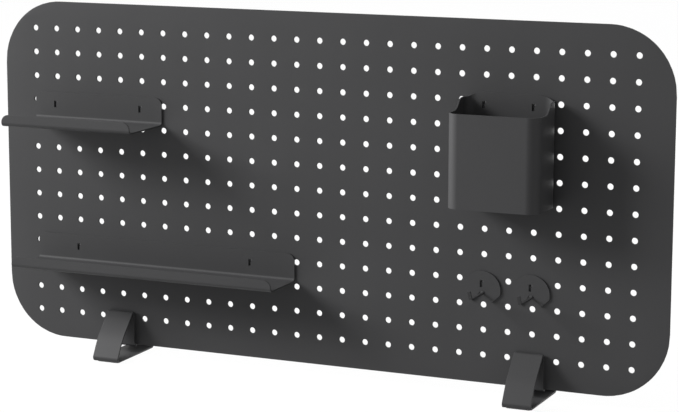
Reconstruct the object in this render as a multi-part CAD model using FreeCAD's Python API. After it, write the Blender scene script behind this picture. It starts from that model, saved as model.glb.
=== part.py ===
import FreeCAD, Part
import os
from math import atan2, sqrt, tan
from FreeCAD import Vector

# Desk pegboard: a perforated steel panel that stands on two bent strip feet and carries two
# shelves, a pen cup and two hooks. Each accessory hangs on lanced tabs that pass through the
# panel's holes and drop behind it.
# Frame: +X to the user's right, +Y away from the user, +Z up. The origin is on the desk, under
# the middle of the whole object's footprint. The user's side of the panel faces -Y.

# ---- driving dimensions, mm ----
PITCH = 20.0             # hole spacing, both ways
COLUMNS, ROWS = 27, 13
HOLE_D = 5.0
PANEL_W, PANEL_H = 578.0, 285.0
PANEL_T = 1.8            # sheet with its powder coat
PANEL_CORNER_R = 52.0
PANEL_LIFT = 10.7        # desk to the panel's bottom edge

SHEET = 1.2              # accessory sheet with its coat
SEAT_GAP = 0.05          # between an accessory's back and the panel
SHEET_SHIFT = -0.6       # an accessory's middle, from the middle of the holes it hangs in

FOOT_W = 23.5
FOOT_T = 1.4
FOOT_GRIP_GAP = 0.06     # between the panel and each upright leg
FOOT_APEX_Z = 40.5       # where the upright and sloping centrelines would meet
FOOT_KNEE_REACH, FOOT_KNEE_Z = 22.7, 18.8   # where the bowed slope's two tangents meet
FOOT_TOE_REACH = 32.6    # where the sloping and base centrelines would meet, from the panel
FOOT_APEX_R, FOOT_KNEE_R, FOOT_TOE_R, FOOT_LEDGE_R = 1.7, 55.0, 2.4, 1.4   # of the centreline
FOOT_LEDGE_GAP = 0.5     # the panel's edge stands on the ledge's inner bend, this far above the ledge
FOOT_LEFT_X, FOOT_RIGHT_X = -180.8, 178.9

PAD_L, PAD_W, PAD_T = 8.0, 20.0, 0.8
PAD_INSET = 5.0          # base bend to the pad's outer end

TAB_H = 1.7              # height of a tab's arm
TAB_X = -0.3             # hole's axis to the arm's middle
TAB_DROP = 2.0           # how far the flap hangs below the arm
TAB_FLAP_REACH = 2.6     # arm's middle to the flap's far edge
TAB_BEND_R = 0.8         # centreline
TAB_ROOT = 1.6           # arm's middle to where the tab is one with the sheet
TAB_REST_GAP = 0.06      # between the arm's lower corners and the hole's edge
TAB_BACK_GAP = 0.1       # between the panel's back and the flap
OPENING_LEFT = 2.6       # hole's axis to the left edge of the opening that the tab was cut from
OPENING_STEM_W = 2.0     # width of the opening's lower part, left by the flap
OPENING_RELIEF = 0.2     # opening's clearance above and below the arm
OPENING_FOOT = 1.7       # how far the opening runs on below the flap's end

SHELF_TRAY_DROP = 15.6   # peg row down to the tray sheet's middle
SHELF_TOP_RISE = 7.0     # peg row up to the back plate's top edge
SHELF_LIP_H = 9.8        # tray underside to the lip's top
SHELF_BEND_R = 3.0       # centreline bend radius
SHELF_TOP_CORNER_R, SHELF_LIP_CORNER_R = 6.0, 6.4
# left tab column, right tab column, peg row, sheet overhang past each tab, front reach
SMALL_SHELF = dict(left=2, right=6, row=4, overhang=19.5, reach=56.4)
LARGE_SHELF = dict(left=3, right=11, row=10, overhang=39.2, reach=46.5)

CUP_W, CUP_DEPTH = 74.0, 43.8
CUP_SHIFT = 0.4          # the cup's middle, from the middle of the holes it hangs in
CUP_CORNER_R = 10.0
CUP_BACK_CORNER_R = 8.0
CUP_COLUMNS, CUP_ROW = (21, 23), 3
CUP_BOTTOM_DROP = 78.2   # peg row down to the cup's underside
CUP_FRONT_DROP = 5.5     # peg row down to the front rim
CUP_BACK_RISE = 7.0      # peg row up to the back's top edge
CUP_SIDE_RISE = 3.0      # peg row up to the highest part of a side's rim
CUP_CROWN_FLAT, CUP_CROWN_END = 20.0, 34.0   # the back's top edge falls away between these half widths
CUP_RISE_FROM, CUP_RISE_TO = 28.0, 9.0   # side rim's rise, measured forward of the panel
CUP_FLOOR_GAP = 0.05

HOOK_COLUMNS, HOOK_ROW = (21, 23), 10
HOOK_PLATE_R = 15.0
HOOK_PLATE_DROP = 8.0    # peg row down to the round plate's centre
HOOK_CHEEK = (14.6, -11.5)        # where the round edge turns into the slanting one
HOOK_LOBE = (8.0, -17.7)          # sharp point of a bottom lobe, before rounding
HOOK_LOBE_R = 1.6
HOOK_NOTCH_Z = -8.8      # top of the notch, from the peg row
HOOK_PRONG_W = 2.6
HOOK_PRONG_Z = -10.8     # prong sheet's middle, from the peg row
HOOK_PRONG_REACH = 26.6  # where the prong turns up, from the panel
HOOK_TIP = (31.0, -3.4)  # prong's end: reach from the panel, height from the peg row
HOOK_ROOT_BEND_R, HOOK_TIP_BEND_R = 1.6, 2.6

# ---- derived places ----
GRID_Z = PANEL_LIFT + PANEL_H / 2
FRONT_REACH = PANEL_T / 2 + SMALL_SHELF["reach"]
FOOT_SLOPE = atan2(FOOT_KNEE_Z - PAD_T - FOOT_T / 2, FOOT_TOE_REACH - FOOT_KNEE_REACH)
# the foot's rear bend ends this far behind the panel's middle plane
REAR_REACH = FOOT_TOE_REACH - FOOT_TOE_R / tan(FOOT_SLOPE / 2) + FOOT_TOE_R + FOOT_T / 2
PANEL_Y = (FRONT_REACH - REAR_REACH) / 2
PANEL_FRONT_Y = PANEL_Y - PANEL_T / 2
PANEL_BACK_Y = PANEL_Y + PANEL_T / 2
SHEET_BACK_Y = PANEL_FRONT_Y - SEAT_GAP
SHEET_FRONT_Y = SHEET_BACK_Y - SHEET
CUP_X = (sum(CUP_COLUMNS) / 2 - (COLUMNS + 1) / 2) * PITCH + CUP_SHIFT


def column_x(column):
    return (column - (COLUMNS + 1) / 2) * PITCH


def row_z(row):
    return GRID_Z + ((ROWS + 1) / 2 - row) * PITCH


def box(x0, x1, y0, y1, z0, z1):
    return Part.makeBox(x1 - x0, y1 - y0, z1 - z0, Vector(x0, y0, z0))


def write(node, shape):
    shape = shape.removeSplitter()
    print(node, "solids", len(shape.Solids), "valid", shape.isValid(), "volume", round(shape.Volume, 1))
    shape.exportStep("parts/" + node + ".step")


def bent_strip(corners, radii, thickness, span):
    """Solid of a flat strip bent along its centreline. The corners lie in one plane, each one between
    the ends is rounded to its centreline radius, and span is the vector of the strip's width."""
    across = Vector(span).normalize()
    half = thickness / 2
    first = (corners[1] - corners[0]).normalize()
    rims = {side: [] for side in (1, -1)}
    starts = {side: corners[0] + across.cross(first) * (side * half) for side in rims}
    for before, corner, after, radius in zip(corners, corners[1:], corners[2:], radii):
        arriving = (corner - before).normalize()
        leaving = (after - corner).normalize()
        inward = across.cross(arriving)
        turn = arriving.getAngle(leaving)
        sense = 1 if inward.dot(leaving) > 0 else -1
        setback = radius * tan(turn / 2)
        centre = corner - arriving * setback + inward * (sense * radius)
        middle = (corner - centre).normalize()
        for side, edges in rims.items():
            enter = corner - arriving * setback + inward * (side * half)
            leave = corner + leaving * setback + across.cross(leaving) * (side * half)
            crest = centre + middle * (radius - sense * side * half)
            edges.append(Part.LineSegment(starts[side], enter).toShape())
            edges.append(Part.Arc(enter, crest, leave).toShape())
            starts[side] = leave
    last = (corners[-1] - corners[-2]).normalize()
    ends = {side: corners[-1] + across.cross(last) * (side * half) for side in rims}
    for side, edges in rims.items():
        edges.append(Part.LineSegment(starts[side], ends[side]).toShape())
    edge = across.cross(first) * half
    caps = [Part.LineSegment(corners[0] + edge, corners[0] - edge), Part.LineSegment(ends[1], ends[-1])]
    outline = rims[1] + rims[-1] + [cap.toShape() for cap in caps]
    return Part.Face(Part.Wire(Part.__sortEdges__(outline))).extrude(span)


def round_corners(solid, radius, height):
    """Round a sheet's corners at one height, where short edges run through it along Y."""
    def is_corner(edge):
        size = edge.BoundBox
        return size.XLength < 1e-4 and size.ZLength < 1e-4 and abs(size.ZMax - height) < 1e-3 \
            and size.YLength < 2 * SHEET
    return solid.makeFillet(radius, [edge for edge in solid.Edges if is_corner(edge)])


def add_tab(sheet, column, row):
    """Cut the Gamma-shaped opening and stand its tab behind the sheet, through the hole at one
    column and row: an arm that rests on the hole's lower edge, and a flap that is turned aside
    behind the panel and hangs there."""
    hole_x, z = column_x(column), row_z(row)
    x = hole_x + TAB_X
    rest_z = z - sqrt((HOLE_D / 2) ** 2 - (SHEET / 2 + abs(TAB_X)) ** 2) + TAB_REST_GAP
    arm_top, flap_end = rest_z + TAB_H, rest_z - TAB_DROP
    sheet_y = (SHEET_FRONT_Y + SHEET_BACK_Y) / 2
    flap_y = PANEL_BACK_Y + TAB_BACK_GAP
    across = (SHEET_FRONT_Y - 1, SHEET_BACK_Y + 1)
    opening_left = hole_x - OPENING_LEFT
    opening = box(opening_left, x + TAB_BEND_R, *across, rest_z - OPENING_RELIEF, arm_top + OPENING_RELIEF)
    opening = opening.fuse(box(opening_left, opening_left + OPENING_STEM_W, *across,
                               flap_end - OPENING_FOOT, rest_z))
    plan = [(x + TAB_ROOT, sheet_y), (x, sheet_y), (x, flap_y + SHEET / 2),
            (x - TAB_FLAP_REACH, flap_y + SHEET / 2)]
    tab = bent_strip([Vector(*point, rest_z) for point in plan], [TAB_BEND_R] * 2, SHEET,
                     Vector(0, 0, TAB_H))
    flap = box(x - TAB_FLAP_REACH, x - TAB_BEND_R, flap_y, flap_y + SHEET, flap_end, rest_z)
    return sheet.cut(opening).fuse(tab.fuse(flap))


# ---- panel: flat sheet with round corners and a full grid of holes ----
def panel():
    half_w, half_h, r = PANEL_W / 2, PANEL_H / 2, PANEL_CORNER_R
    blank = box(-half_w, half_w, PANEL_FRONT_Y, PANEL_BACK_Y, GRID_Z - half_h, GRID_Z + half_h)
    upright = [e for e in blank.Edges if e.BoundBox.YLength > PANEL_T / 2]
    blank = blank.makeFillet(r, upright)
    face = [f for f in blank.Faces if f.BoundBox.YLength < 1e-6 and f.BoundBox.YMin < PANEL_Y][0]
    holes = [Part.Wire(Part.makeCircle(HOLE_D / 2, Vector(column_x(column), PANEL_FRONT_Y, row_z(row)),
                                       Vector(0, 1, 0)))
             for column in range(1, COLUMNS + 1) for row in range(1, ROWS + 1)]
    sheet = Part.Face([face.OuterWire] + holes)
    sheet.validate()
    return sheet.extrude(Vector(0, PANEL_T, 0))


# ---- foot: one strip bent into two slopes with a slot between them for the panel's edge ----
def foot(x):
    leg = PANEL_T / 2 + FOOT_GRIP_GAP + FOOT_T / 2
    base = PAD_T + FOOT_T / 2
    leg_end = PANEL_LIFT - FOOT_T / 2
    slope = [(leg, FOOT_APEX_Z), (FOOT_KNEE_REACH, FOOT_KNEE_Z), (FOOT_TOE_REACH, base)]
    front = [(-leg, leg_end)] + [(-y, z) for y, z in slope]
    ledge = leg_end - FOOT_LEDGE_GAP
    corners = front + slope[::-1] + [(leg, ledge), (-leg + FOOT_T, ledge)]
    bends = [FOOT_APEX_R, FOOT_KNEE_R, FOOT_TOE_R]
    radii = bends + bends[::-1] + [FOOT_LEDGE_R]
    left = x - FOOT_W / 2
    return bent_strip([Vector(left, PANEL_Y + y, z) for y, z in corners], radii, FOOT_T,
                      Vector(FOOT_W, 0, 0))


def foot_pads(x):
    flat = REAR_REACH - FOOT_TOE_R - FOOT_T / 2
    pads = []
    for y in (PANEL_Y - flat + PAD_INSET - PAD_L / 2, PANEL_Y + flat - PAD_INSET - PAD_L / 2):
        pad = box(x - PAD_W / 2, x + PAD_W / 2, y, y + PAD_L, 0, PAD_T)
        upright = [e for e in pad.Edges if e.BoundBox.ZLength > PAD_T / 2]
        pads.append(pad.makeFillet(2.0, upright))
    return Part.makeCompound(pads)


# ---- shelf: one sheet bent into a back plate, a tray and a low front lip ----
def shelf(left, right, row, overhang, reach):
    back = (SHEET_BACK_Y + SHEET_FRONT_Y) / 2
    tray = row_z(row) - SHELF_TRAY_DROP
    front = PANEL_FRONT_Y - reach + SHEET / 2
    lip_top = tray - SHEET / 2 + SHELF_LIP_H
    top = row_z(row) + SHELF_TOP_RISE
    profile = [(back, top), (back, tray), (front, tray), (front, lip_top)]
    x0 = column_x(left) - overhang + SHEET_SHIFT
    length = column_x(right) - column_x(left) + 2 * overhang
    sheet = bent_strip([Vector(x0, y, z) for y, z in profile], [SHELF_BEND_R] * 2, SHEET,
                       Vector(length, 0, 0))
    sheet = round_corners(sheet, SHELF_TOP_CORNER_R, top)
    sheet = round_corners(sheet, SHELF_LIP_CORNER_R, lip_top)
    for column in (left, right):
        sheet = add_tab(sheet, column, row)
    return sheet


# ---- cup: a sheet wrapped into a rounded tube, with a floor plate welded inside it ----
def cup_prism(inset, z0, z1):
    """Upright prism of the cup's plan, with its walls moved in by inset."""
    solid = box(CUP_X - CUP_W / 2 + inset, CUP_X + CUP_W / 2 - inset,
                SHEET_BACK_Y - CUP_DEPTH + inset, SHEET_BACK_Y - inset, z0, z1)
    middle_y = SHEET_BACK_Y - CUP_DEPTH / 2
    upright = [e for e in solid.Edges if e.BoundBox.ZLength > (z1 - z0) / 2]
    front = [e for e in upright if e.BoundBox.YMin < middle_y]
    solid = solid.makeFillet(CUP_CORNER_R - inset, front)
    rear = [e for e in solid.Edges if e.BoundBox.ZLength > (z1 - z0) / 2 and e.BoundBox.YMin > middle_y]
    return solid.makeFillet(CUP_BACK_CORNER_R - inset, rear)


def cup_wall():
    peg_z = row_z(CUP_ROW)
    bottom, rim = peg_z - CUP_BOTTOM_DROP, peg_z - CUP_FRONT_DROP
    side_top, top = peg_z + CUP_SIDE_RISE, peg_z + CUP_BACK_RISE
    wall = cup_prism(0, bottom, top).cut(cup_prism(SHEET, bottom - 1, top + 1))
    rise_from, rise_to = PANEL_FRONT_Y - CUP_RISE_FROM, PANEL_FRONT_Y - CUP_RISE_TO
    bend = (CUP_RISE_FROM - CUP_RISE_TO) * 0.55
    x0 = CUP_X - 1.5 * CUP_W
    above = SHEET_BACK_Y - CUP_DEPTH - 5
    rise = Part.BezierCurve()
    rise.setPoles([Vector(x0, rise_from, rim), Vector(x0, rise_from + bend, rim),
                   Vector(x0, rise_to - bend, side_top), Vector(x0, rise_to, side_top)])
    path = [Vector(x0, rise_to, side_top), Vector(x0, rise_to, top + 5), Vector(x0, above, top + 5),
            Vector(x0, above, rim), Vector(x0, rise_from, rim)]
    edges = [rise.toShape()] + [Part.LineSegment(a, b).toShape() for a, b in zip(path, path[1:])]
    cutter = Part.Face(Part.Wire(Part.__sortEdges__(edges))).extrude(Vector(3 * CUP_W, 0, 0))
    wall = wall.cut(cutter)
    fall, width = top - side_top, CUP_CROWN_END - CUP_CROWN_FLAT
    crown_r = (width ** 2 + fall ** 2) / (2 * fall)
    halfway = CUP_CROWN_FLAT + width * 0.6
    halfway_z = top - crown_r + sqrt(crown_r ** 2 - (width * 0.6) ** 2)
    ends = {side: [Vector(CUP_X + side * out, rise_to, z) for out, z in
                   ((CUP_CROWN_FLAT, top), (halfway, halfway_z), (CUP_CROWN_END, side_top))]
            for side in (-1, 1)}
    edges = [Part.Arc(*ends[side]).toShape() for side in ends]
    edges += [Part.LineSegment(ends[-1][i], ends[1][i]).toShape() for i in (0, 2)]
    crown = Part.Face(Part.Wire(Part.__sortEdges__(edges))).extrude(Vector(0, CUP_DEPTH, 0))
    shoulders = box(CUP_X - CUP_W, CUP_X + CUP_W, rise_to, SHEET_BACK_Y + 1, side_top, top + 1).cut(crown)
    wall = wall.cut(shoulders)
    for column in CUP_COLUMNS:
        wall = add_tab(wall, column, CUP_ROW)
    return wall


def cup_floor():
    bottom = row_z(CUP_ROW) - CUP_BOTTOM_DROP
    return cup_prism(SHEET + CUP_FLOOR_GAP, bottom, bottom + SHEET)


# ---- hook: a round plate whose middle tongue is bent forward into an upturned prong ----
def hook(column):
    x, z = column_x(column) + SHEET_SHIFT, row_z(HOOK_ROW)
    half = HOOK_PRONG_W / 2
    y = SHEET_FRONT_Y

    def place(point, side=1):
        return Vector(x + side * point[0], y, z + point[1])

    top = place((0, HOOK_PLATE_R - HOOK_PLATE_DROP))
    edges = []
    for side in (1, -1):
        edges.append(Part.Arc(top, place((HOOK_PLATE_R, -HOOK_PLATE_DROP), side),
                              place(HOOK_CHEEK, side)).toShape())
        edges.append(Part.LineSegment(place(HOOK_CHEEK, side), place(HOOK_LOBE, side)).toShape())
        edges.append(Part.LineSegment(place(HOOK_LOBE, side), place((half, HOOK_NOTCH_Z), side)).toShape())
    edges.append(Part.LineSegment(place((half, HOOK_NOTCH_Z), -1), place((half, HOOK_NOTCH_Z))).toShape())
    plate = Part.Face(Part.Wire(Part.__sortEdges__(edges))).extrude(Vector(0, SHEET, 0))
    lobes = [e for e in plate.Edges if e.BoundBox.XLength < 1e-4 and e.BoundBox.ZLength < 1e-4
             and abs(e.BoundBox.ZMin - z - HOOK_LOBE[1]) < 1e-3]
    plate = plate.makeFillet(HOOK_LOBE_R, lobes)
    back = (SHEET_BACK_Y + SHEET_FRONT_Y) / 2
    turn_y = PANEL_FRONT_Y - HOOK_PRONG_REACH
    corners = [(back, z + HOOK_NOTCH_Z + 1), (back, z + HOOK_PRONG_Z), (turn_y, z + HOOK_PRONG_Z),
               (PANEL_FRONT_Y - HOOK_TIP[0], z + HOOK_TIP[1])]
    prong = bent_strip([Vector(x - half, y, z) for y, z in corners],
                       [HOOK_ROOT_BEND_R, HOOK_TIP_BEND_R], SHEET, Vector(HOOK_PRONG_W, 0, 0))
    return add_tab(plate.fuse(prong), column, HOOK_ROW)


os.makedirs("parts", exist_ok=True)
write("panel", panel())
for name, x in (("left", FOOT_LEFT_X), ("right", FOOT_RIGHT_X)):
    write("foot_" + name, foot(x))
    write("foot_pads_" + name, foot_pads(x))
write("shelf_small", shelf(**SMALL_SHELF))
write("shelf_large", shelf(**LARGE_SHELF))
write("cup_wall", cup_wall())
write("cup_floor", cup_floor())
for name, column in zip(("left", "right"), HOOK_COLUMNS):
    write("hook_" + name, hook(column))
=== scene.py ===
from math import ceil, radians, tan

import bmesh
import bpy
from bmesh.types import BMEdge, BMVert
from mathutils import Matrix, Vector


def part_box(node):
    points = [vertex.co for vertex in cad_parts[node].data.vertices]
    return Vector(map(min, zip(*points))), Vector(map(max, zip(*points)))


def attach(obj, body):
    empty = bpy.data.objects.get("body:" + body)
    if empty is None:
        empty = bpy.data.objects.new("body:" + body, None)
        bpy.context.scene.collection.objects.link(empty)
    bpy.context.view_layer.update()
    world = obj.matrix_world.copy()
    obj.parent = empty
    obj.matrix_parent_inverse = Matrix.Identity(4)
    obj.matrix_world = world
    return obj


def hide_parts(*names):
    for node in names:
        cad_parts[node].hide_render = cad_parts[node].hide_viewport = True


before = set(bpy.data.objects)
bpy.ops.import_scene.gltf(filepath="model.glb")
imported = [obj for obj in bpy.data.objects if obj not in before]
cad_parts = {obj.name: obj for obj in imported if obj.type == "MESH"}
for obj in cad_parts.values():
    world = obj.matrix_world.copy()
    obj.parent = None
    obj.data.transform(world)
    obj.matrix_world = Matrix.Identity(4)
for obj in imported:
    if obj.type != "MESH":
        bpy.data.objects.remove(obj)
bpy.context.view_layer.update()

mm = 0.001

# ---- panel ----
# The board is one flat sheet of cold-rolled steel with rounded corners, punched with a full grid of
# round holes and then powder coated all over, so every cut edge and every hole rim is slightly soft.
HOLE_PITCH = 20 * mm
HOLE_COLUMNS, HOLE_ROWS = 27, 13
HOLE_R = 2.5 * mm
HOLE_SIDES = 16
PANEL_CORNER_R = 52 * mm
SLACK = 0.01 * mm  # places nearer than this count as one
COAT_EDGE_R = 0.25 * mm
COAT_BLACK = "#39393A"
COAT_BLACK_THIN = "#3E3E3F"
COAT_DRIFT, COAT_GRAIN = 80 * mm, 0.7 * mm
COAT_PEEL_DEPTH = 0.03 * mm

panel_low, panel_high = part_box("panel")
panel_middle = (panel_low + panel_high) / 2


def linear(code):
    """Linear RGBA of an sRGB hex colour."""
    channels = [int(code[place:place + 2], 16) / 255 for place in (1, 3, 5)]
    return [c / 12.92 if c < 0.04045 else ((c + 0.055) / 1.055) ** 2.4 for c in channels] + [1]


def add_node(tree, kind, inputs, **options):
    """Add one shader node. An input is a value, or the output of another node that feeds it."""
    made = tree.nodes.new(kind)
    for name, value in options.items():
        setattr(made, name, value)
    for name, value in inputs.items():
        if isinstance(value, bpy.types.NodeSocket):
            tree.links.new(value, made.inputs[name])
        else:
            made.inputs[name].default_value = value
    return made


def powder_coat(name, film, thin_film):
    """Matt polyester powder coat: near black, with a soft even sheen and a very fine orange peel."""
    material = bpy.data.materials.new(name)
    material.use_nodes = True
    tree = material.node_tree
    tree.nodes.clear()
    place = add_node(tree, "ShaderNodeTexCoord", {}).outputs["Object"]
    # the film's thickness drifts slowly, and shows as a faint cloudiness
    drift = add_node(tree, "ShaderNodeTexNoise",
                     {"Vector": place, "Scale": 1 / COAT_DRIFT, "Detail": 2.0})
    # the real grain is about 0.15 mm and is drawn coarser, or it wouldn't show
    grain = add_node(tree, "ShaderNodeTexNoise",
                     {"Vector": place, "Scale": 1 / COAT_GRAIN, "Detail": 3.0, "Roughness": 0.6})
    speck = add_node(tree, "ShaderNodeMath",
                     {0: drift.outputs["Fac"], 1: grain.outputs["Fac"], 2: 0.1}, operation="MULTIPLY_ADD")
    share = add_node(tree, "ShaderNodeMapRange",
                     {"Value": speck.outputs[0], "From Min": 0.2, "From Max": 0.55})
    colour = add_node(tree, "ShaderNodeMix", {"Factor": share.outputs[0]}, data_type="RGBA")
    colour.inputs["A"].default_value = linear(film)
    colour.inputs["B"].default_value = linear(thin_film)
    sheen = add_node(tree, "ShaderNodeMapRange",
                     {"Value": grain.outputs["Fac"], "To Min": 0.52, "To Max": 0.64})
    peel = add_node(tree, "ShaderNodeBump",
                    {"Height": grain.outputs["Fac"], "Strength": 0.25, "Distance": COAT_PEEL_DEPTH})
    coat = add_node(tree, "ShaderNodeBsdfPrincipled",
                    {"Base Color": colour.outputs["Result"], "Roughness": sheen.outputs[0], "IOR": 1.5,
                     "Specular IOR Level": 0.26, "Normal": peel.outputs[0]})
    add_node(tree, "ShaderNodeOutputMaterial", {"Surface": coat.outputs[0]})
    return material


def lay_out(bm, count, step):
    """Repeat all that a mesh holds, count times in a row, a step apart."""
    first = bm.verts[:] + bm.edges[:] + bm.faces[:]
    for place in range(1, count):
        copied = bmesh.ops.duplicate(bm, geom=first)["geom"]
        bmesh.ops.translate(bm, verts=[e for e in copied if isinstance(e, BMVert)], vec=step * place)


def set_in_scene(bm, name, body, node, material, slot):
    """Make a mesh the visible piece that stands for a CAD node and rides on a body."""
    mesh = bpy.data.meshes.new(name)
    bm.to_mesh(mesh)
    bm.free()
    mesh.shade_smooth()
    mesh.materials.append(material)
    piece = bpy.data.objects.new(name, mesh)
    bpy.context.scene.collection.objects.link(piece)
    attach(piece, body)
    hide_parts(node)
    return piece


def soften_edges(piece):
    """The rounding that the coat gives to cut edges, with the flats kept evenly shaded."""
    rounding = piece.modifiers.new("coat rounding", "BEVEL")
    rounding.width = COAT_EDGE_R
    rounding.segments = 2
    rounding.limit_method = "ANGLE"
    rounding.angle_limit = radians(40)
    shading = piece.modifiers.new("even shading", "WEIGHTED_NORMAL")
    shading.keep_sharp = True


panel_coat = powder_coat("powder_coat_panel", COAT_BLACK, COAT_BLACK_THIN)

sheet = bmesh.new()
bmesh.ops.create_circle(sheet, cap_ends=False, radius=HOLE_R, segments=HOLE_SIDES)
grown = bmesh.ops.extrude_edge_only(sheet, edges=sheet.edges[:])["geom"]
for corner in [e for e in grown if isinstance(e, BMVert)]:
    corner.co *= HOLE_PITCH / 2 / max(abs(corner.co.x), abs(corner.co.y))
bmesh.ops.translate(sheet, verts=sheet.verts[:],
                    vec=Vector(((1 - HOLE_COLUMNS) / 2, (1 - HOLE_ROWS) / 2, 0)) * HOLE_PITCH)
lay_out(sheet, HOLE_COLUMNS, Vector((HOLE_PITCH, 0, 0)))
lay_out(sheet, HOLE_ROWS, Vector((0, HOLE_PITCH, 0)))
bmesh.ops.remove_doubles(sheet, verts=sheet.verts[:], dist=SLACK)

# the margin round the holes is drawn out from the grid's border to the blank's rounded outline
grid_half = Vector((HOLE_COLUMNS, HOLE_ROWS)) * HOLE_PITCH / 2
border = [e for e in sheet.edges if e.is_boundary
          and (min(abs(v.co.x) for v in e.verts) > grid_half.x - SLACK
               or min(abs(v.co.y) for v in e.verts) > grid_half.y - SLACK)]
grown = bmesh.ops.extrude_edge_only(sheet, edges=border)["geom"]
panel_half = Vector((panel_high.x - panel_low.x, panel_high.z - panel_low.z)) / 2
for corner in [e for e in grown if isinstance(e, BMVert)]:
    side = Vector((1 if corner.co.x > 0 else -1, 1 if corner.co.y > 0 else -1))
    away = Vector((corner.co.x * side.x, corner.co.y * side.y))
    centre = panel_half - Vector((PANEL_CORNER_R, PANEL_CORNER_R))
    if away.x > centre.x and away.y > centre.y:
        away = centre + (away - centre).normalized() * PANEL_CORNER_R
    elif away.y > grid_half.y - SLACK:
        away.y = panel_half.y
    else:
        away.x = panel_half.x
    corner.co = Vector((away.x * side.x, away.y * side.y, 0))

back = bmesh.ops.extrude_face_region(sheet, geom=sheet.faces[:])["geom"]
bmesh.ops.translate(sheet, verts=[e for e in back if isinstance(e, BMVert)],
                    vec=(0, 0, panel_high.y - panel_low.y))
bmesh.ops.recalc_face_normals(sheet, faces=sheet.faces[:])
rims = [e for e in sheet.edges if e.calc_face_angle(0) > radians(60)]
bmesh.ops.bevel(sheet, geom=rims, offset=COAT_EDGE_R, segments=1, profile=0.5, affect="EDGES",
                material=-1)
upright = Matrix.Translation((panel_middle.x, panel_high.y, panel_middle.z)) @ Matrix.Rotation(
    radians(90), 4, "X")
bmesh.ops.transform(sheet, matrix=upright, verts=sheet.verts[:])
panel = set_in_scene(sheet, "panel_sheet", "panel", "panel", panel_coat, "panel")
panel.modifiers.new("even shading", "WEIGHTED_NORMAL").keep_sharp = True

# ---- feet ----
# Each foot is one strip of spring steel bent to a sharp M: a flat base, two bowed slopes up to tight
# apexes, and two upright legs that grip the panel's edge. The end of the rear leg turns in under it.
FOOT_T = 1.4 * mm
FOOT_LEG_Y = 1.66 * mm
FOOT_APEX_Z = 40.5 * mm
FOOT_KNEE_Y, FOOT_KNEE_Z = 22.7 * mm, 18.8 * mm
FOOT_TOE_Y = 32.6 * mm
FOOT_APEX_R, FOOT_KNEE_R, FOOT_TOE_R, FOOT_LEDGE_R = 1.7 * mm, 55 * mm, 2.4 * mm, 1.4 * mm
FOOT_LEDGE_GAP = 0.5 * mm
BEND_STEP = radians(7)


def draw_on(bm, edge, step):
    """Extrude one edge by a step and return the edge that it ends on."""
    grown = bmesh.ops.extrude_edge_only(bm, edges=[edge])["geom"]
    ends = [e for e in grown if isinstance(e, BMVert)]
    bmesh.ops.translate(bm, verts=ends, vec=step)
    return bm.edges.get(ends)


def fold_strip(bm, edge, corners, radii):
    """Carry a sheet on from one edge along corner points, straight to each bend and then round it.
    A radius is that of the sheet's middle layer. Return the edge that the sheet ends on."""
    here = (edge.verts[0].co + edge.verts[1].co) / 2
    for corner, after, radius in zip(corners, corners[1:], radii):
        arriving = (corner - here).normalized()
        leaving = (after - corner).normalized()
        turn = arriving.angle(leaving)
        start = corner - arriving * radius * tan(turn / 2)
        if (start - here).length > SLACK:
            edge = draw_on(bm, edge, start - here)
        axis = arriving.cross(leaving).normalized()
        spun = bmesh.ops.spin(bm, geom=[edge, *edge.verts], cent=start + axis.cross(arriving) * radius,
                              axis=axis, angle=turn, steps=ceil(turn / BEND_STEP))["geom_last"]
        edge = next(e for e in spun if isinstance(e, BMEdge))
        here = corner + leaving * radius * tan(turn / 2)
    return draw_on(bm, edge, corners[-1] - here)


def set_sheet(bm, thickness, *place):
    """Give a folded surface its thickness and soft edges, and set it in the scene."""
    bmesh.ops.recalc_face_normals(bm, faces=bm.faces[:])
    piece = set_in_scene(bm, *place)
    shell = piece.modifiers.new("sheet thickness", "SOLIDIFY")
    shell.thickness = thickness
    shell.offset = 0
    shell.use_even_offset = True
    soften_edges(piece)
    return piece


foot_coat = powder_coat("powder_coat_feet", COAT_BLACK, COAT_BLACK_THIN)

for hand in ("left", "right"):
    low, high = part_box("foot_" + hand)
    middle_x = (low.x + high.x) / 2
    base_z = low.z + FOOT_T / 2
    leg_end_z = panel_low.z - FOOT_T / 2
    ledge_z = leg_end_z - FOOT_LEDGE_GAP
    slope = [(FOOT_LEG_Y, FOOT_APEX_Z), (FOOT_KNEE_Y, FOOT_KNEE_Z), (FOOT_TOE_Y, base_z)]
    route = [(-y, z) for y, z in slope] + slope[::-1] + [(FOOT_LEG_Y, ledge_z),
                                                         (FOOT_T - FOOT_LEG_Y, ledge_z)]
    strip = bmesh.new()
    start_y = panel_middle.y - FOOT_LEG_Y
    first = strip.edges.new([strip.verts.new((x, start_y, leg_end_z)) for x in (low.x, high.x)])
    bends = [FOOT_APEX_R, FOOT_KNEE_R, FOOT_TOE_R]
    fold_strip(strip, first, [Vector((middle_x, panel_middle.y + y, z)) for y, z in route],
               bends + bends[::-1] + [FOOT_LEDGE_R])
    set_sheet(strip, FOOT_T, f"foot_{hand}_strip", "foot_" + hand, "foot_" + hand, foot_coat, "feet")

# ---- foot pads ----
# A thin non-slip pad of black rubber sheet, die cut and stuck under each end of a foot's base.
PAD_BLACK = "#1B1B1B"
PAD_BLOOM, PAD_BLOOM_DEPTH = 0.4 * mm, 0.05 * mm

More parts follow.
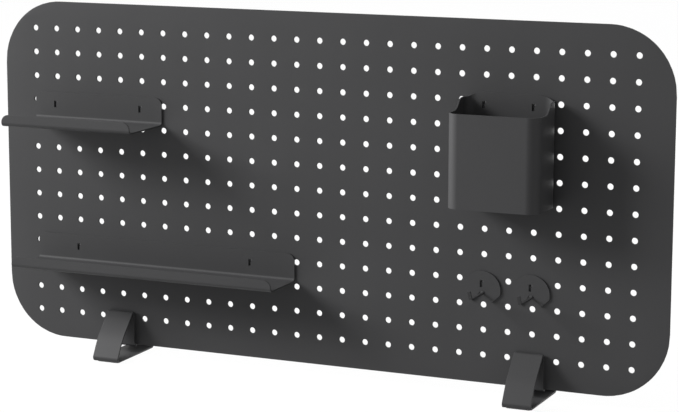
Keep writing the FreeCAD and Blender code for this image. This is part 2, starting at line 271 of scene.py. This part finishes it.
rubber = bpy.data.materials.new("rubber_sheet")
rubber.use_nodes = True
tree = rubber.node_tree
tree.nodes.clear()
place = add_node(tree, "ShaderNodeTexCoord", {}).outputs["Object"]
bloom = add_node(tree, "ShaderNodeTexNoise", {"Vector": place, "Scale": 1 / PAD_BLOOM, "Detail": 2.0})
matt = add_node(tree, "ShaderNodeMapRange", {"Value": bloom.outputs["Fac"], "To Min": 0.7, "To Max": 0.9})
skin = add_node(tree, "ShaderNodeBump",
                {"Height": bloom.outputs["Fac"], "Strength": 0.3, "Distance": PAD_BLOOM_DEPTH})
body = add_node(tree, "ShaderNodeBsdfPrincipled",
                {"Base Color": linear(PAD_BLACK), "Roughness": matt.outputs[0], "IOR": 1.52,
                 "Normal": skin.outputs[0]})
add_node(tree, "ShaderNodeOutputMaterial", {"Surface": body.outputs[0]})
for hand in ("left", "right"):
    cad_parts["foot_pads_" + hand].data.materials.clear()
    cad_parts["foot_pads_" + hand].data.materials.append(rubber)

# ---- shelves ----
# Each shelf is one sheet bent twice: a back plate that lies on the panel, a tray, and a low lip. Two
# tabs are lanced out of the back plate and bent through the panel's holes, where they drop behind it.
SHEET_T = 1.2 * mm
SEAT_GAP = 0.05 * mm
SHELF_BEND_R = 3 * mm
SHELF_LIP_H = 9.8 * mm
SHELF_TOP_CORNER_R, SHELF_LIP_CORNER_R = 6 * mm, 6.4 * mm
TAB_H, TAB_DROP = 1.7 * mm, 2 * mm
TAB_X = -0.3 * mm
TAB_FLAP_REACH = 2.6 * mm
TAB_BEND_R = 0.8 * mm
TAB_REST_DROP = 2.272 * mm
TAB_BACK_GAP = 0.1 * mm
OPENING_LEFT, OPENING_STEM_W = 2.6 * mm, 2 * mm
OPENING_RELIEF, OPENING_FOOT = 0.2 * mm, 1.7 * mm
CORNER_STEPS = 6
CUT_SLACK = 0.001 * mm

accessory_coat = powder_coat("powder_coat_accessories", COAT_BLACK, COAT_BLACK_THIN)
sheet_y = panel_low.y - SEAT_GAP - SHEET_T / 2


def hole_at(column, row):
    """Middle of one hole, in the plane of the accessories' sheet. Column 1, row 1 is top left."""
    x = (column - (HOLE_COLUMNS + 1) / 2) * HOLE_PITCH
    z = ((HOLE_ROWS + 1) / 2 - row) * HOLE_PITCH
    return Vector((panel_middle.x + x, sheet_y, panel_middle.z + z))


def round_corners(bm, corners, setback):
    """Round a sheet's outline where it turns, starting this far before each corner."""
    bmesh.ops.bevel(bm, geom=corners, offset=setback, offset_type="ABSOLUTE", segments=CORNER_STEPS,
                    profile=0.5, affect="VERTICES", material=-1)


def score(bm, point, direction):
    """Cut the sheet's flat back plate along a line, through a point and square to a direction."""
    plate = [f for f in bm.faces if all(abs(v.co.y - sheet_y) < SLACK for v in f.verts)]
    parts = {e for f in plate for e in (*f.verts, *f.edges)}
    bmesh.ops.bisect_plane(bm, geom=[*parts, *plate], plane_co=point, plane_no=direction,
                           dist=CUT_SLACK)


def lance_tab(bm, hole):
    """Punch the Gamma-shaped opening and stand its tab behind the sheet, through a hole: an arm that
    rests on the hole's lower edge, and a flap turned aside that hangs behind the panel."""
    rest = hole.z - TAB_REST_DROP
    arm_top, flap_end = rest + TAB_H, rest - TAB_DROP
    arm_x = hole.x + TAB_X
    left, root = hole.x - OPENING_LEFT, arm_x + TAB_BEND_R
    stem_right = left + OPENING_STEM_W
    foot, low, high = flap_end - OPENING_FOOT, rest - OPENING_RELIEF, arm_top + OPENING_RELIEF
    for x in (left, stem_right, root):
        score(bm, Vector((x, sheet_y, 0)), Vector((1, 0, 0)))
    for z in (foot, low, rest, arm_top, high):
        score(bm, Vector((0, sheet_y, z)), Vector((0, 0, 1)))
    punched = []
    for face in bm.faces:
        middle = face.calc_center_median()
        above = low < middle.z < high and left < middle.x < root
        below = foot < middle.z < low and left < middle.x < stem_right
        if abs(middle.y - sheet_y) < SLACK and (above or below):
            punched.append(face)
    bmesh.ops.delete(bm, geom=punched, context="FACES")
    edge = next(e for e in bm.edges if all(
        abs(v.co.x - root) < SLACK and abs(v.co.y - sheet_y) < SLACK
        and rest - SLACK < v.co.z < arm_top + SLACK for v in e.verts))
    flap_y = panel_high.y + TAB_BACK_GAP + SHEET_T / 2
    axis_z = rest + TAB_H / 2
    route = [(arm_x, sheet_y), (arm_x, flap_y), (arm_x - TAB_FLAP_REACH, flap_y)]
    far_end = fold_strip(bm, edge, [Vector((x, y, axis_z)) for x, y in route], [TAB_BEND_R] * 2)
    corner = min(far_end.verts, key=lambda v: v.co.z)
    lower = next(e for e in corner.link_edges if e != far_end)
    draw_on(bm, lower, Vector((0, 0, -TAB_DROP)))


for node, columns, row in (("shelf_small", (2, 6), 4), ("shelf_large", (3, 11), 10)):
    low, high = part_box(node)
    middle_x = (low.x + high.x) / 2
    tray_z, lip_y = low.z + SHEET_T / 2, low.y + SHEET_T / 2
    blank = bmesh.new()
    top = blank.edges.new([blank.verts.new((x, sheet_y, high.z)) for x in (low.x, high.x)])
    lip = fold_strip(blank, top, [Vector((middle_x, sheet_y, tray_z)), Vector((middle_x, lip_y, tray_z)),
                                  Vector((middle_x, lip_y, low.z + SHELF_LIP_H))], [SHELF_BEND_R] * 2)
    lip_ends = lip.verts[:]
    round_corners(blank, top.verts[:], SHELF_TOP_CORNER_R)
    round_corners(blank, lip_ends, SHELF_LIP_CORNER_R)
    for column in columns:
        lance_tab(blank, hole_at(column, row))
    set_sheet(blank, SHEET_T, node + "_sheet", node, node, accessory_coat, "accessories")

# ---- cup ----
# The cup's wall is a sheet rolled into a rounded box with a low front rim and a high back, and its two
# tabs are lanced out of the back. A floor plate is welded inside, flush with the wall's lower edge.
CUP_CORNER_R, CUP_BACK_CORNER_R = 10 * mm, 8 * mm
CUP_FRONT_RIM_DROP, CUP_SIDE_RIM_DROP = 12.5 * mm, 4 * mm
CUP_CROWN_FLAT, CUP_CROWN_END = 20 * mm, 34 * mm
CUP_CROWN_STEPS = 3
CUP_RISE_FROM, CUP_RISE_TO = 28 * mm, 9 * mm
CUP_RISE_BOW = 0.55
CUP_RISE_STEPS = 10

low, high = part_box("cup_wall")
wall = bmesh.new()
x0, x1 = low.x + SHEET_T / 2, high.x - SHEET_T / 2
y0, y1 = low.y + SHEET_T / 2, sheet_y
corners = (x0, y0), (x1, y0), (x1, y1), (x0, y1)
wall.faces.new([wall.verts.new((x, y, low.z)) for x, y in corners])
round_corners(wall, [v for v in wall.verts if v.co.y < y1 - mm], CUP_CORNER_R - SHEET_T / 2)
rear = [v for v in wall.verts if v.co.y > y1 - SLACK and min(v.co.x - x0, x1 - v.co.x) < SLACK]
round_corners(wall, rear, CUP_BACK_CORNER_R - SHEET_T / 2)
bmesh.ops.delete(wall, geom=wall.faces[:], context="FACES_ONLY")
grown = bmesh.ops.extrude_edge_only(wall, edges=wall.edges[:])["geom"]
bmesh.ops.translate(wall, verts=[e for e in grown if isinstance(e, BMVert)], vec=(0, 0, high.z - low.z))
rise = []
for step in range(CUP_RISE_STEPS + 1):
    t = step / CUP_RISE_STEPS
    blend = 3 * t ** 2 - 2 * t ** 3
    reach_bow = 3 * t * (1 - t) * (1 - 2 * t) * CUP_RISE_BOW
    reach = CUP_RISE_FROM + (CUP_RISE_TO - CUP_RISE_FROM) * (t ** 3 + 3 * t ** 2 * (1 - t) + reach_bow)
    drop = CUP_FRONT_RIM_DROP + (CUP_SIDE_RIM_DROP - CUP_FRONT_RIM_DROP) * blend
    rise.append((panel_low.y - reach, high.z - drop))
for y, z in rise:
    bmesh.ops.bisect_plane(wall, geom=wall.verts[:] + wall.edges[:] + wall.faces[:],
                           plane_co=(0, y, 0), plane_no=(0, 1, 0), dist=CUT_SLACK)
crown_w = CUP_CROWN_END - CUP_CROWN_FLAT
crown_r = (crown_w ** 2 + CUP_SIDE_RIM_DROP ** 2) / (2 * CUP_SIDE_RIM_DROP)
middle_x = (x0 + x1) / 2
for step in range(CUP_CROWN_STEPS + 1):
    out = CUP_CROWN_FLAT + crown_w / 2 * step / CUP_CROWN_STEPS
    for side in (-1, 1):
        score(wall, Vector((middle_x + side * out, sheet_y, 0)), Vector((1, 0, 0)))
for corner in [v for v in wall.verts if v.co.z > high.z - SLACK]:
    out = abs(corner.co.x - middle_x) - CUP_CROWN_FLAT
    if corner.co.y < rise[0][0]:
        corner.co.z = rise[0][1]
    elif corner.co.y < rise[-1][0]:
        corner.co.z = min(rise, key=lambda place: abs(place[0] - corner.co.y))[1]
    elif out > 0:
        corner.co.z = high.z - crown_r + (crown_r ** 2 - min(out, crown_w) ** 2) ** 0.5
for column in (21, 23):
    lance_tab(wall, hole_at(column, 3))
set_sheet(wall, SHEET_T, "cup_wall_sheet", "cup", "cup_wall", accessory_coat, "accessories")
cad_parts["cup_floor"].data.materials.clear()
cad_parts["cup_floor"].data.materials.append(accessory_coat)

# ---- hooks ----
# Each hook is a round plate with a notch below. The tongue left in the notch is bent forward and its
# end is turned up, and one tab is lanced out of the plate's middle.
HOOK_ROW = 10
HOOK_PLATE_R = 15 * mm
HOOK_PLATE_DROP = 8 * mm
HOOK_PLATE_SIDES = 56
HOOK_CHEEK = Vector((14.6, 0, -11.5)) * mm
HOOK_LOBE = Vector((8, 0, -17.7)) * mm
HOOK_LOBE_SETBACK = 1.8 * mm
HOOK_NOTCH_Z = -8.8 * mm
HOOK_PRONG_W = 2.6 * mm
HOOK_PRONG_Z = -10.8 * mm
HOOK_PRONG_REACH = 26.6 * mm
HOOK_TIP_REACH, HOOK_TIP_Z = 31 * mm, -3.4 * mm
HOOK_ROOT_BEND_R, HOOK_TIP_BEND_R = 1.6 * mm, 2.6 * mm

for hand, column in (("left", 21), ("right", 23)):
    node = "hook_" + hand
    low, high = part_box(node)
    peg = Vector(((low.x + high.x) / 2, sheet_y, hole_at(column, HOOK_ROW).z))
    plate = bmesh.new()
    bmesh.ops.create_circle(plate, cap_ends=True, radius=HOOK_PLATE_R, segments=HOOK_PLATE_SIDES,
                            matrix=Matrix.Translation(peg - Vector((0, 0, HOOK_PLATE_DROP)))
                            @ Matrix.Rotation(radians(90), 4, "X"))
    notch = Vector((HOOK_PRONG_W / 2, 0, HOOK_NOTCH_Z))
    for side in (Vector((1, 1, 1)), Vector((-1, 1, 1))):
        lobe = peg + HOOK_LOBE * side
        cheek_line = (HOOK_CHEEK - HOOK_LOBE) * side
        outward = Vector((cheek_line.z, 0, -cheek_line.x)) * side.x
        bmesh.ops.bisect_plane(plate, geom=plate.verts[:] + plate.edges[:] + plate.faces[:],
                               plane_co=lobe, plane_no=outward, clear_outer=True, dist=CUT_SLACK)
        notch_line = (HOOK_LOBE - notch) * side
        score(plate, lobe, Vector((notch_line.z, 0, -notch_line.x)))
    score(plate, peg + notch, Vector((0, 0, 1)))
    lean = (HOOK_LOBE.x - notch.x) / (notch.z - HOOK_LOBE.z)
    punched = []
    for face in plate.faces:
        middle = face.calc_center_median() - peg
        if middle.z < notch.z and abs(middle.x) < notch.x + (notch.z - middle.z) * lean:
            punched.append(face)
    bmesh.ops.delete(plate, geom=punched, context="FACES")
    root = next(e for e in plate.edges if e.is_boundary and all(
        abs(v.co.z - peg.z - notch.z) < SLACK for v in e.verts)
        and abs(e.verts[0].co.x - e.verts[1].co.x) < HOOK_PRONG_W + SLACK)
    prong = [(0, HOOK_PRONG_Z), (HOOK_PRONG_REACH, HOOK_PRONG_Z), (HOOK_TIP_REACH, HOOK_TIP_Z)]
    route = [Vector((peg.x, min(sheet_y, panel_low.y - reach), peg.z + z)) for reach, z in prong]
    fold_strip(plate, root, route, [HOOK_ROOT_BEND_R, HOOK_TIP_BEND_R])
    lobes = [v for v in plate.verts if abs(v.co.z - peg.z - HOOK_LOBE.z) < SLACK
             and abs(abs(v.co.x - peg.x) - HOOK_LOBE.x) < SLACK]
    round_corners(plate, lobes, HOOK_LOBE_SETBACK)
    lance_tab(plate, hole_at(column, HOOK_ROW))
    set_sheet(plate, SHEET_T, node + "_sheet", node, node, accessory_coat, "accessories")

# ---- floor ----
# A white acrylic table top, wide enough to fill the view. The eye looks through it at the white room, so
# it shows white, keeps a faint shadow of the feet and the panel, and doesn't hide a foot that is pulled
# down off the panel. To the light that falls on the object it is plain grey.
FLOOR_HALF = 6.0
FLOOR_GREY = 0.35
ACRYLIC_GREY = 0.06
ACRYLIC_CLEAR = 0.97

floor_mesh = bpy.data.meshes.new("table_top")
top = bmesh.new()
bmesh.ops.create_grid(top, x_segments=1, y_segments=1, size=FLOOR_HALF)
top.to_mesh(floor_mesh)
top.free()
floor = bpy.data.objects.new("table_top", floor_mesh)
bpy.context.scene.collection.objects.link(floor)


def seen_ray(tree):
    """1 for a ray that shows the background: straight to the camera, by reflection or through glass."""
    path = add_node(tree, "ShaderNodeLightPath", {})
    shown = add_node(tree, "ShaderNodeMath", {0: path.outputs["Is Camera Ray"],
                                              1: path.outputs["Is Glossy Ray"]}, operation="MAXIMUM")
    return add_node(tree, "ShaderNodeMath", {0: shown.outputs[0],
                                             1: path.outputs["Is Transmission Ray"]},
                    operation="MAXIMUM").outputs[0]


acrylic = bpy.data.materials.new("white_acrylic")
acrylic.use_nodes = True
tree = acrylic.node_tree
tree.nodes.clear()
seen = seen_ray(tree)
grey = add_node(tree, "ShaderNodeMapRange",
                {"Value": seen, "To Min": FLOOR_GREY, "To Max": ACRYLIC_GREY})
share = add_node(tree, "ShaderNodeMath", {0: seen, 1: ACRYLIC_CLEAR}, operation="MULTIPLY")
lit = add_node(tree, "ShaderNodeBsdfDiffuse", {"Color": grey.outputs[0]})
clear = add_node(tree, "ShaderNodeBsdfTransparent", {"Color": share.outputs[0]})
both = add_node(tree, "ShaderNodeAddShader", {0: lit.outputs[0], 1: clear.outputs[0]})
add_node(tree, "ShaderNodeOutputMaterial", {"Surface": both.outputs[0]})
floor_mesh.materials.append(acrylic)

# ---- room and lamps ----
# A white room for whatever looks at it, with a weak even fill. A soft lamp stands high on the left, a
# second one to the side lights the faces that look left, and a weak one behind fills the board's back.
ROOM_FILL = 0.27
KEY_FROM = Vector((-2.67, -1.46, 1.52))
KEY_SIZE, KEY_POWER = 1.15, 132
SIDE_FROM = Vector((-2.15, -0.27, 0.45))
SIDE_SIZE, SIDE_POWER = 0.9, 36
BACK_FROM = Vector((0.3, 1.6, 0.4))
BACK_SIZE, BACK_POWER = 1.6, 20

world = bpy.data.worlds.new("white_room")
bpy.context.scene.world = world
world.use_nodes = True
tree = world.node_tree
tree.nodes.clear()
level = add_node(tree, "ShaderNodeMapRange", {"Value": seen_ray(tree), "To Min": ROOM_FILL})
sky = add_node(tree, "ShaderNodeBackground", {"Color": (1, 1, 1, 1), "Strength": level.outputs[0]})
add_node(tree, "ShaderNodeOutputWorld", {"Surface": sky.outputs[0]})


def add_lamp(name, place, aim, size, power):
    """A square softbox at a place, turned to face a point."""
    lamp = bpy.data.lights.new(name, "AREA")
    lamp.size = size
    lamp.energy = power
    holder = bpy.data.objects.new(name, lamp)
    holder.location = place
    holder.rotation_euler = (aim - place).to_track_quat("-Z", "Y").to_euler()
    bpy.context.scene.collection.objects.link(holder)


add_lamp("key_softbox", panel_middle + KEY_FROM, panel_middle, KEY_SIZE, KEY_POWER)
add_lamp("side_softbox", panel_middle + SIDE_FROM, panel_middle, SIDE_SIZE, SIDE_POWER)
add_lamp("back_softbox", panel_middle + BACK_FROM, panel_middle, BACK_SIZE, BACK_POWER)

# ---- camera ----
# A long lens from the right, a little above the board, looking down on it.
IMAGE_W, IMAGE_H = 679, 412
SENSOR_W = 36
FOCAL_PIXELS = 2240.8
AXIS_U, AXIS_V = 308.95, 205.34
CAMERA_PLACE = Vector((721.75, -1595.46, 453.94)) * mm
CAMERA_TURN, CAMERA_TILT = 24.447, -10.057

camera = bpy.data.cameras.new("camera")
camera.sensor_width = SENSOR_W
camera.lens = FOCAL_PIXELS * SENSOR_W / IMAGE_W
camera.shift_x = (IMAGE_W / 2 - AXIS_U) / IMAGE_W
camera.shift_y = (AXIS_V - IMAGE_H / 2) / IMAGE_W
camera.clip_end = 50
holder = bpy.data.objects.new("camera", camera)
holder.location = CAMERA_PLACE
holder.rotation_euler = (radians(90 + CAMERA_TILT), 0, radians(CAMERA_TURN))
bpy.context.scene.collection.objects.link(holder)
bpy.context.scene.camera = holder
bpy.context.scene.view_settings.view_transform = "Standard"
